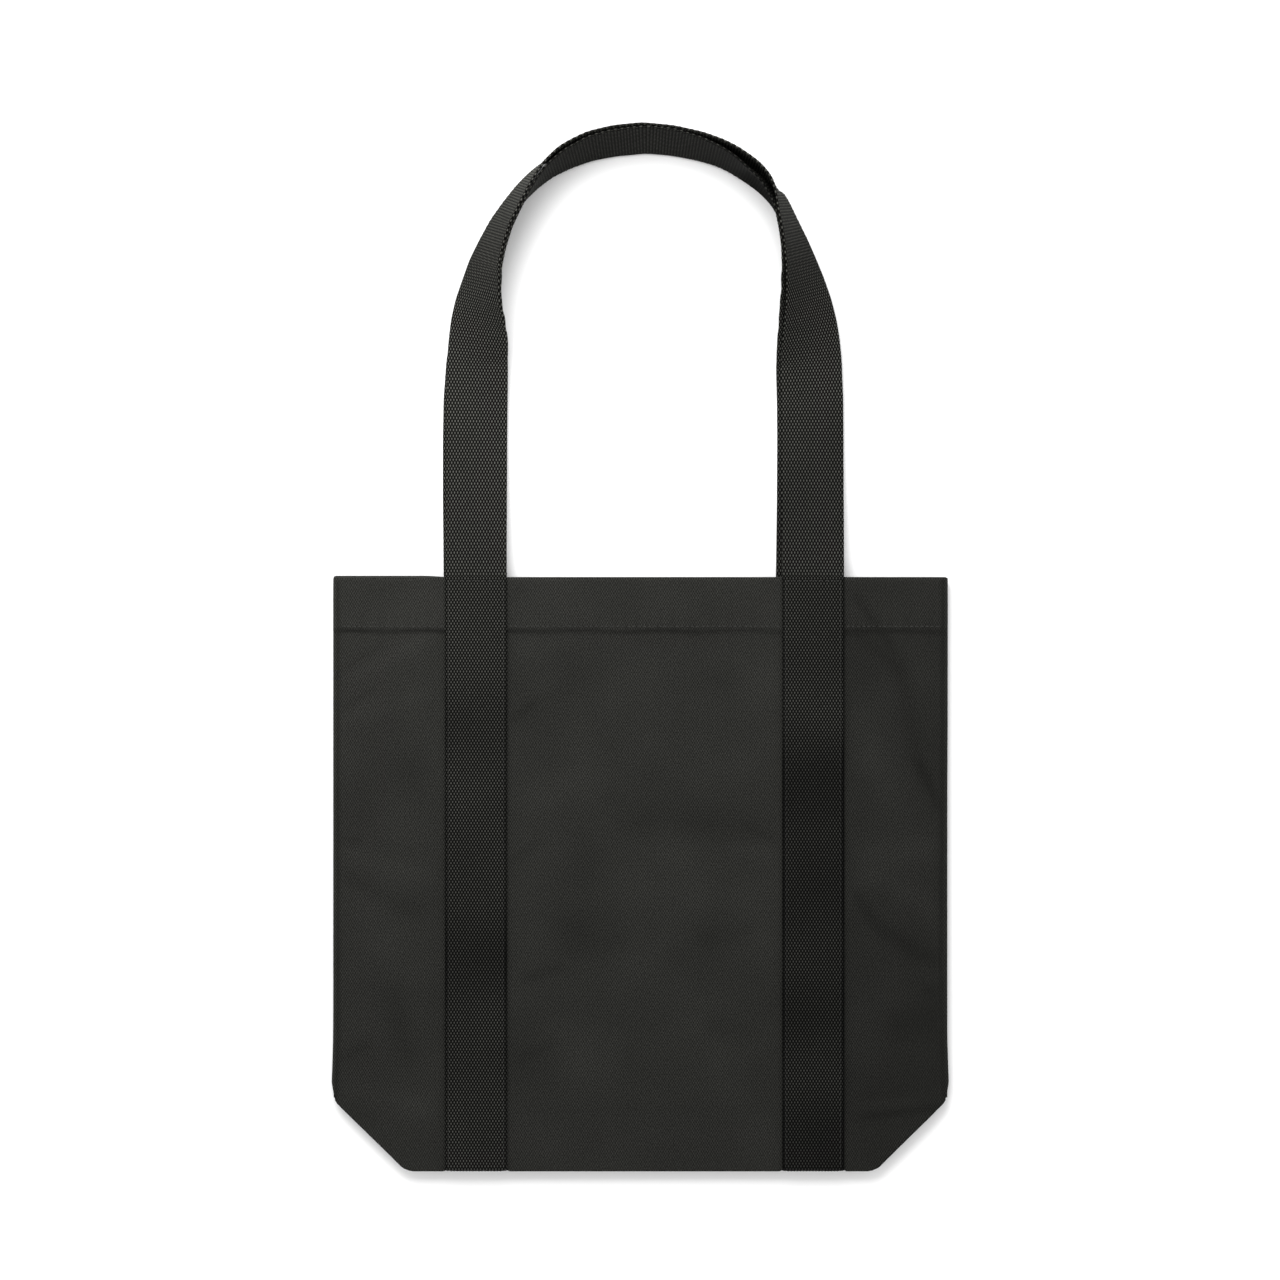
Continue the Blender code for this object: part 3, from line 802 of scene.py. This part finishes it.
def corner_cloth(name, side, face):
    """The corner of the panel, folded in behind its diagonal edge."""
    half = bpy.context.scene.tote_sizes.canvas_thick / 2
    low_x, high_x = sorted((side * BASE_HALF, side * HALF_WIDTH))
    bm = flat_cloth(low_x, high_x, BOTTOM, FOLD_END, 18, 18)
    trim_corner(bm, side, CORNER_INSET)
    remember_cut(bm)
    x, y, _ = places(bm)
    level = FACING_OUT - half
    sag = 0.2 * MM * np.sin(150 * x) * np.sin(170 * y)
    put(bm, x, y, MIDDLE + face * (level + sag))
    face_out(bm, face)
    piece = finish_canvas(bm, name)
    return piece


def seam_allowance(name, low, high):
    """Two raw edges sewn together and overlocked: a doubled strip with a wavy edge."""
    wide = high.x - low.x
    side = 1 if low.x > 0 else -1
    bm = flat_cloth(low.x, high.x, low.y, high.y, 5, max(10, round((high.y - low.y) / (2 * MM))))
    x, y, _ = places(bm)
    inner = np.clip((high.x - x if side > 0 else x - low.x) / wide, 0, 1)
    wave = inner**2 * 0.35 * MM
    middle = (low.z + high.z) / 2
    put(bm, x + wave * np.sin(420 * y), y, middle + wave * np.sin(330 * y + 1))
    face_out(bm, 1)
    doubled = 2 * bpy.context.scene.tote_sizes.canvas_thick
    piece = finish_cloth(bm, name, [finish_named("overlocked_canvas_edge")], doubled)
    return piece


class TOTE_OT_base(bpy.types.Operator):
    """Folded base, folded corners and the overlocked seams inside"""

    bl_idname = "tote.base"
    bl_label = "Base, corners and seams"

    def execute(self, context):
        base, length = base_cloth("base_cloth")
        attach(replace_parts(base, "base_gusset"), "back")
        for side, hand in ((-1, "left"), (1, "right")):
            for face, where in ((1, "front"), (-1, "back")):
                corner = corner_cloth(f"{where}_corner_{hand}", side, face)
                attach(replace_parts(corner, f"corner_fold_{where}_{hand}"), "back")
            side_seam = seam_allowance(f"side_seam_edge_{hand}", *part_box(f"side_seam_{hand}"))
            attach(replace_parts(side_seam, f"side_seam_{hand}"), "back")
            low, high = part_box(f"corner_seam_{hand}")
            low.z = high.z = MIDDLE
            low.y += 6 * MM
            high.y -= 4 * MM
            corner_seam = seam_allowance(f"corner_seam_edge_{hand}", low, high)
            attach(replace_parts(corner_seam, f"corner_seam_{hand}"), "back")
        return {"FINISHED"}


# ---------------------------------------------------------------- webbing


def web_grid(rows, pick):
    """A flat length of webbing, one mesh column to each yarn and two rows to each pick."""
    sizes = bpy.context.scene.tote_sizes
    columns = round(2 * WEB_HALF / sizes.across)
    return flat_cloth(0, columns * sizes.across, 0, rows * pick / 2, columns, rows)


def from_selvage(across):
    return np.minimum(across, 2 * WEB_HALF - across)


def crowns_of(across, along, pick):
    """How far each point of the weave stands off the middle of the webbing, least at its selvages."""
    sizes = bpy.context.scene.tote_sizes
    held = 0.25 + 0.75 * smooth(from_selvage(across) / (1.2 * MM))
    return sizes.crown * held * np.cos(math.pi * across / sizes.across) * np.cos(math.pi * along / pick)


def web_thickness(flat):
    """Webbing thins at its rounded selvages."""
    edge = from_selvage(flat[:, 0])
    return np.where(edge < 0.4 * MM, 0.5, np.where(edge < 1.4 * MM, 0.92, 1.0))


def finish_webbing(bm, name, finish):
    """Makes a piece of webbing, with the weave's pattern turned over on its other side."""
    materials = [finish_named(finish), finish_named(f"{finish}_reverse")]
    thick = bpy.context.scene.tote_sizes.webbing_thick
    return finish_cloth(bm, name, materials, thick, web_thickness)


def strap_height(x, y, face):
    """Middle of a sewn strap, as a distance from the bag's mid-plane."""
    return (STRAP_OUT + STRAP_IN) / 2 + swell(x, y, face)


def sewn_strap(name, face, middle):
    """A strap sewn up the panel: from the fold under the bag, round its bottom edge and up to the mouth."""
    sizes = bpy.context.scene.tote_sizes
    pick = sizes.along
    level = (STRAP_OUT + STRAP_IN) / 2
    radius = (level - BASE_WEB) / 2
    turn_y = BOTTOM + radius + sizes.webbing_thick / 2 + 0.2 * MM
    tuck = 1.5 * MM
    before = tuck + math.pi * radius
    length = before + MOUTH + 0.75 * MM - turn_y
    bm = web_grid(round(length / pick) * 2, pick)
    across, along, _ = places(bm)
    along = along - along.max() + length
    up = np.clip(along - before, 0, None)
    turn = np.clip((along - tuck) / radius, 0, math.pi)
    x = middle + across - WEB_HALF
    y = turn_y + np.clip(tuck - along, 0, None) - radius * np.sin(turn) + up
    rise = (level + BASE_WEB) / 2 - radius * np.cos(turn) + np.where(up > 0, swell(x, y, face), 0)
    crown = crowns_of(across, along - length, pick)
    sewn = 0.3 * MM * ridge(from_selvage(across) - EDGE_ROW, 0.7)
    sewn += 0.25 * MM * ridge(y - MOUTH + MOUTH_ROW, 0.6)
    stand = crown - sewn
    out_y, out_z = -np.sin(turn) * (turn < math.pi), -np.cos(turn)
    # Painted light and shade on the strap: lighter on its swells and darker in its sags, darker down from
    # the mouth and lighter again near the bottom, darker on the right-hand straps, and a painted shade line
    # along each selvage.
    wave = swell(x, y, face) / MM - 0.5
    tone = 0.5 + 0.2 * wave - 0.38 * smooth((MOUTH - y) / 0.2) + 0.25 * smooth((-0.22 - y) / 0.08)
    if middle > 0:
        tone -= 0.22 - 0.12 * smooth((-0.19 - y) / 0.05) + 0.28 * smooth((-0.26 - y) / 0.04)
    tone -= 0.35 * (from_selvage(across) < 1.6 * MM)
    put(bm, x, y + out_y * stand, MIDDLE + face * (rise + out_z * stand), np.clip(tone, DARKEST_PAINTED_SHADE, 1))
    cut = bm.verts.layers.float_vector["cut"]
    for i, vert in enumerate(bm.verts):
        vert[cut] = (across[i], along[i] - length, 0)
    face_out(bm, face)
    return finish_webbing(bm, name, "woven_webbing"), length


def base_strap(name, middle):
    """The strap's run inside the folded base, between the front and the back."""
    pick = bpy.context.scene.tote_sizes.along
    start, end = BOTTOM + BASE_WEB_GAP, FOLD_END - 2.6 * MM
    length = 2 * (end - start - BASE_WEB) + math.pi * BASE_WEB
    bm = web_grid(round(length / pick) * 2, pick)
    across, along, _ = places(bm)
    y, z = folded_strip(bm, BASE_WEB, start, end)
    put(bm, middle + across - WEB_HALF, y, z + crowns_of(across, along, pick))
    face_out(bm, 1)
    return finish_webbing(bm, name, "woven_webbing"), length


def handle_stations(line, pick):
    """Even steps along a handle's table edge: place, inward direction, lean and distance along."""
    table = np.array(line, dtype=float)
    points = table[:, :2] * MM + np.array((0, MOUTH))
    chord = np.concatenate(((0,), np.cumsum(np.hypot(*np.diff(points, axis=0).T))))
    fine = np.linspace(0, chord[-1], 1400)
    step = fine[1]
    curves = [np.interp(fine, chord, column) for column in (points[:, 0], points[:, 1], table[:, 2])]
    reach = round(7 * MM / step)
    window = np.hanning(2 * reach + 1)
    window /= window.sum()
    eased = []
    for curve in curves:
        ends = np.concatenate((
            2 * curve[0] - curve[reach:0:-1], curve, 2 * curve[-1] - curve[-2 : -reach - 2 : -1],
        ))
        eased.append(np.convolve(ends, window, mode="valid"))
    x, y, lean = eased
    length = np.concatenate(((0,), np.cumsum(np.hypot(np.diff(x), np.diff(y)))))
    count = round(length[-1] / pick) * 2
    at = np.linspace(0, length[-1], count + 1)
    x, y, lean = (np.interp(at, length, curve) for curve in (x, y, lean))
    run = np.stack((np.gradient(x), np.gradient(y)))
    run /= np.hypot(*run)
    return x, y, np.radians(lean), run, count, length[-1]


def handle(name, line, foot_height, over, belly, shade):
    """A handle: webbing that lies flat by the mouth and twists up on its edge round the loop.

    over is how far a flat leg clears the other handle's. At the right shoulder the webbing bends by belly:
    inwards along its lower edge, and outwards across its middle. shade is how dark the painted shade on its
    arch is."""
    pick = bpy.context.scene.tote_sizes.handle_along
    x, y, lean, run, count, length = handle_stations(line, pick)
    bm = web_grid(count, pick)
    across, along, _ = places(bm)
    row = np.round(along / (pick / 2)).astype(int)
    drop = 1 - smooth((y - MOUTH) / (90 * MM))
    rest = 1.0 * MM + over * np.clip(np.cos(lean), 0, 1)
    base = rest + (foot_height - rest) * drop
    inwards = np.stack((run[1], -run[0]))
    bend = smooth((x - 55 * MM) / (15 * MM)) * smooth((89 * MM - x) / (6.5 * MM))
    wide_x, wide_y, wide_z = inwards[0] * np.cos(lean), inwards[1] * np.cos(lean), np.sin(lean)
    off_x, off_y, off_z = -inwards[0] * np.sin(lean), -inwards[1] * np.sin(lean), np.cos(lean)
    crown = crowns_of(across, along, pick)
    share = across / (2 * WEB_HALF)
    tuck = bend[row] * (belly[0] * (1 - share) ** 2 - belly[1] * np.sin(math.pi * share))
    past = y - MOUTH - ARCH
    around = 1 - np.cos(30 * np.clip(x, -60 * MM, 60 * MM))
    # Painted light and shade on the handle: a slight painted ripple along it, painted shade over the arch
    # that deepens towards its sides, lighter on the left leg and darker on the right, and a painted shade
    # band where the arch begins.
    handle_painted_shading = 0.5 + 0.1 * np.sin(35 * y + 2) - shade * (1 + 0.9 * around) * smooth(past / (50 * MM))
    handle_painted_shading += 0.24 * smooth((-x - 20 * MM) / (60 * MM)) - 0.06 * smooth((x - 20 * MM) / (60 * MM))
    handle_painted_shading -= 0.12 * ridge(past, 18)
    put(
        bm,
        x[row] + wide_x[row] * across + off_x[row] * crown + inwards[0][row] * tuck,
        y[row] + wide_y[row] * across + off_y[row] * crown + inwards[1][row] * tuck,
        base[row] + wide_z[row] * across + off_z[row] * crown,
        np.clip(handle_painted_shading[row], DARKEST_PAINTED_SHADE, 1),
    )
    bmesh.ops.recalc_face_normals(bm, faces=bm.faces)
    foot = min(bm.faces, key=lambda part: part.calc_center_median().y)
    if foot.normal.z < 0:
        bmesh.ops.reverse_faces(bm, faces=bm.faces)
    return finish_webbing(bm, name, "woven_handle_webbing"), length


class TOTE_OT_straps(bpy.types.Operator):
    """Straps sewn up both panels, and their runs inside the folded base"""

    bl_idname = "tote.straps"
    bl_label = "Sewn straps"

    def execute(self, context):
        for hand, number in (("left", 0), ("right", 1)):
            for face, where in ((1, "front"), (-1, "back")):
                strap, length = sewn_strap(f"{where}_webbing_{hand}", face, STRAP_MIDDLES[face][number])
                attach(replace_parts(strap, f"{where}_strap_{hand}"), where)
            inner, length = base_strap(f"base_webbing_{hand}", STRAP_MIDDLES[-1][number])
            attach(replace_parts(inner, f"base_strap_{hand}"), "back")
        return {"FINISHED"}


class TOTE_OT_handles(bpy.types.Operator):
    """Front and back handles, twisted from flat legs to a standing loop"""

    bl_idname = "tote.handles"
    bl_label = "Handles"

    def execute(self, context):
        front_foot = MIDDLE + (STRAP_OUT + STRAP_IN) / 2
        back_foot = MIDDLE - (STRAP_OUT + STRAP_IN) / 2
        pieces = (
            ("front", FRONT_LINE, front_foot, 3.0 * MM, (7.0 * MM, 0.0), 0.0),
            ("back", BACK_LINE, back_foot, 0.0, (0.0, 4.0 * MM), 0.3),
        )
        for where, line, foot, over, belly, shade in pieces:
            piece, length = handle(f"{where}_handle_webbing", line, foot, over, belly, shade)
            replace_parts(piece, f"{where}_handle")
            start, end = (0, MOUTH + 0.5 * MM, foot), (0, MOUTH + 20 * MM, foot)
            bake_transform(piece, where, f"{where}_handle", start=start, end=end)
        return {"FINISHED"}


# ---------------------------------------------------------------- stitching


def add_stitch(bm, start, end, thick, finish):
    """One stitch: a short rounded bar of thread from start to end."""
    run = Vector(end) - Vector(start)
    made = bmesh.ops.create_uvsphere(bm, u_segments=6, v_segments=4, radius=0.5)["verts"]
    bmesh.ops.scale(bm, vec=(thick, thick, run.length), verts=made)
    bmesh.ops.rotate(bm, matrix=run.to_track_quat("Z", "Y").to_matrix(), verts=made)
    bmesh.ops.translate(bm, vec=(Vector(start) + Vector(end)) / 2, verts=made)
    for part in {face for vert in made for face in vert.link_faces}:
        part.material_index = finish


def stitch_row(bm, start, end, height, finish=0):
    """A row of stitches in plan from start to end, laid on a surface whose height is a function of x, y."""
    sizes = bpy.context.scene.tote_sizes
    start, end = Vector(start), Vector(end)
    count = max(1, round((end - start).length / sizes.stitch_step))
    run = (end - start) / count
    ahead = run.normalized() * sizes.stitch / 2
    for i in range(count):
        at = start + run * (i + 0.5)
        pair = []
        for place in (at - ahead, at + ahead):
            z = float(height(np.array((place.x,)), np.array((place.y,)))[0])
            pair.append((place.x, place.y, z))
        add_stitch(bm, pair[0], pair[1], sizes.thread, finish)


def finish_stitches(bm, name):
    for part in bm.faces:
        part.smooth = True
    mesh = bpy.data.meshes.new(name)
    bm.to_mesh(mesh)
    bm.free()
    for finish in ("polyester_thread", "dark_polyester_thread"):
        mesh.materials.append(finish_named(finish))
    piece = bpy.data.objects.new(name, mesh)
    bpy.context.scene.collection.objects.link(piece)
    return piece


def strap_stitching(name, face, middle):
    """Two edge rows up the strap, and the row across it at the mouth."""
    sizes = bpy.context.scene.tote_sizes
    bm = bmesh.new()

    def height(x, y):
        return MIDDLE + face * (strap_height(x, y, face) + sizes.webbing_thick / 2 + 0.02 * MM)

    inset = WEB_HALF - EDGE_ROW
    y = MOUTH - MOUTH_ROW
    for side in (-1, 1):
        x = middle + side * inset
        stitch_row(bm, (x, BOTTOM + 4 * MM), (x, y), height, 1)
    stitch_row(bm, (middle - inset, y), (middle + inset, y), height)
    return finish_stitches(bm, name)


def hem_stitching(name, face, x_low, x_high):
    """The row that holds the turned hem, broken where the straps cover it."""
    sizes = bpy.context.scene.tote_sizes
    bm = bmesh.new()

    def height(x, y):
        return MIDDLE + face * (canvas_height(x, y, face)[0] + sizes.canvas_thick / 2 + 0.05 * MM)

    y = HEM_ROW - 0.4 * MM
    stitch_row(bm, (x_low, y), (x_high, y), height)
    return finish_stitches(bm, name)


class TOTE_OT_stitching(bpy.types.Operator):
    """Thread along the straps and the hems"""

    bl_idname = "tote.stitching"
    bl_label = "Stitching"

    def execute(self, context):
        end = HALF_WIDTH - 5 * MM
        clear = WEB_HALF + 1 * MM
        for face, where in ((1, "front"), (-1, "back")):
            left, right = STRAP_MIDDLES[face]
            for hand, middle in (("left", left), ("right", right)):
                row = strap_stitching(f"{where}_strap_thread_{hand}", face, middle)
                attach(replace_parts(row, f"{where}_strap_stitches_{hand}"), where)
            rows = (
                ("left", -end, left - clear, -1),
                ("centre", left + clear, right - clear, 0),
                ("right", right + clear, end, 1),
            )
            for part, low, high, side in rows:
                row = hem_stitching(f"{where}_hem_thread_{part}", face, low, high)
                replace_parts(row, f"{where}_hem_stitches")
                if face > 0 and side:
                    blend_flank(row, side)
                else:
                    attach(row, where)
        return {"FINISHED"}


# ---------------------------------------------------------------- stage


class TOTE_OT_stage(bpy.types.Operator):
    """Plain pale table, soft studio light and the camera straight above"""

    bl_idname = "tote.stage"
    bl_label = "Table, light and camera"

    def execute(self, context):
        scene = context.scene
        bm = bmesh.new()
        bmesh.ops.create_grid(bm, x_segments=1, y_segments=1, size=20)
        mesh = bpy.data.meshes.new("table")
        bm.to_mesh(mesh)
        bm.free()
        mesh.materials.append(table_finish("matt_white_laminate", scene.tote_colours.floor))
        table = bpy.data.objects.new("table", mesh)
        scene.collection.objects.link(table)
        table.location = (0, 0, -0.2 * MM)
        data = bpy.data.lights.new("key", "AREA")
        data.shape = "SQUARE"
        data.size = 1.0
        data.energy = 27
        lamp = bpy.data.objects.new("key", data)
        scene.collection.objects.link(lamp)
        place, aim = Vector((-0.3, 0.95, 1.35)), Vector((-0.25, 0.5, 0))
        lamp.location = place
        lamp.rotation_euler = (aim - place).to_track_quat("-Z", "Y").to_euler()
        world = bpy.data.worlds.new("studio")
        world.use_nodes = True
        world.node_tree.nodes.clear()
        sky = add(world.node_tree, "ShaderNodeBackground", {"Color": (1, 1, 1, 1), "Strength": 1.0})
        add(world.node_tree, "ShaderNodeOutputWorld", {0: sky.outputs[0]})
        scene.world = world
        scene.view_settings.view_transform = "Standard"
        data = bpy.data.cameras.new("camera")
        data.lens = 100
        data.sensor_width = 36
        data.clip_end = 20
        camera = bpy.data.objects.new("camera", data)
        scene.collection.objects.link(camera)
        camera.location = (-0.3 * MM, 4.6 * MM, 2.206)
        scene.camera = camera
        return {"FINISHED"}


class TOTE_PT_panel(bpy.types.Panel):
    """The tote bag's pieces and sizes"""

    bl_idname = "TOTE_PT_panel"
    bl_label = "Tote bag"
    bl_space_type = "VIEW_3D"
    bl_region_type = "UI"
    bl_category = "Tote bag"

    def draw(self, context):
        column = self.layout.column()
        for operator in OPERATORS:
            column.operator(operator.bl_idname)
        for group in (context.scene.tote_sizes, context.scene.tote_colours):
            for name in group.__annotations__:
                column.prop(group, name)


OPERATORS = (
    TOTE_OT_back_canvas, TOTE_OT_front_canvas, TOTE_OT_base, TOTE_OT_straps, TOTE_OT_handles,
    TOTE_OT_stitching, TOTE_OT_stage,
)
CLASSES = (ToteSizes, ToteColours, *OPERATORS, TOTE_PT_panel)


def register():
    for kind in CLASSES:
        bpy.utils.register_class(kind)
    bpy.types.Scene.tote_sizes = bpy.props.PointerProperty(type=ToteSizes)
    bpy.types.Scene.tote_colours = bpy.props.PointerProperty(type=ToteColours)


def unregister():
    del bpy.types.Scene.tote_colours
    del bpy.types.Scene.tote_sizes
    for kind in reversed(CLASSES):
        bpy.utils.unregister_class(kind)


def main():
    register()
    bpy.ops.tote.back_canvas()
    bpy.ops.tote.front_canvas()
    bpy.ops.tote.base()
    bpy.ops.tote.straps()
    bpy.ops.tote.handles()
    bpy.ops.tote.stitching()
    bpy.ops.tote.stage()


if __name__ == "__main__":
    main()
